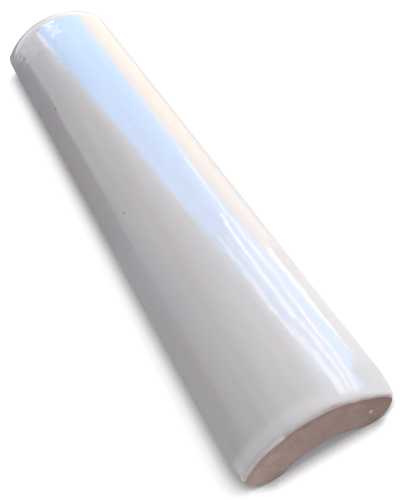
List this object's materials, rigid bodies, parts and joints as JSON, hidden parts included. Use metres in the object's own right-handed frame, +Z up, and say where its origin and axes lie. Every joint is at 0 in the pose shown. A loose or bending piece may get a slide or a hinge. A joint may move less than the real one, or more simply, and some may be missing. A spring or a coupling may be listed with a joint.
{
  "type": "quarter round tile trim",
  "caption": "Glazed ceramic quarter round trim that caps an outside corner or the edge of a tiled surface.",
  "frame": {"origin": "on the plane that the two feet rest on, under the middle of the piece", "axes": "+Y along the piece, +X across it, +Z up through the crown of the glazed arc"},
  "size_m": [0.0278, 0.152, 0.0113],
  "materials": {
    "white_glaze": "glossy white glaze",
    "bare_clay": "matt bare red-brown clay"
  },
  "bodies": {
    "root": {"quarter_round_trim": "white_glaze"}
  },
  "joints": []
}
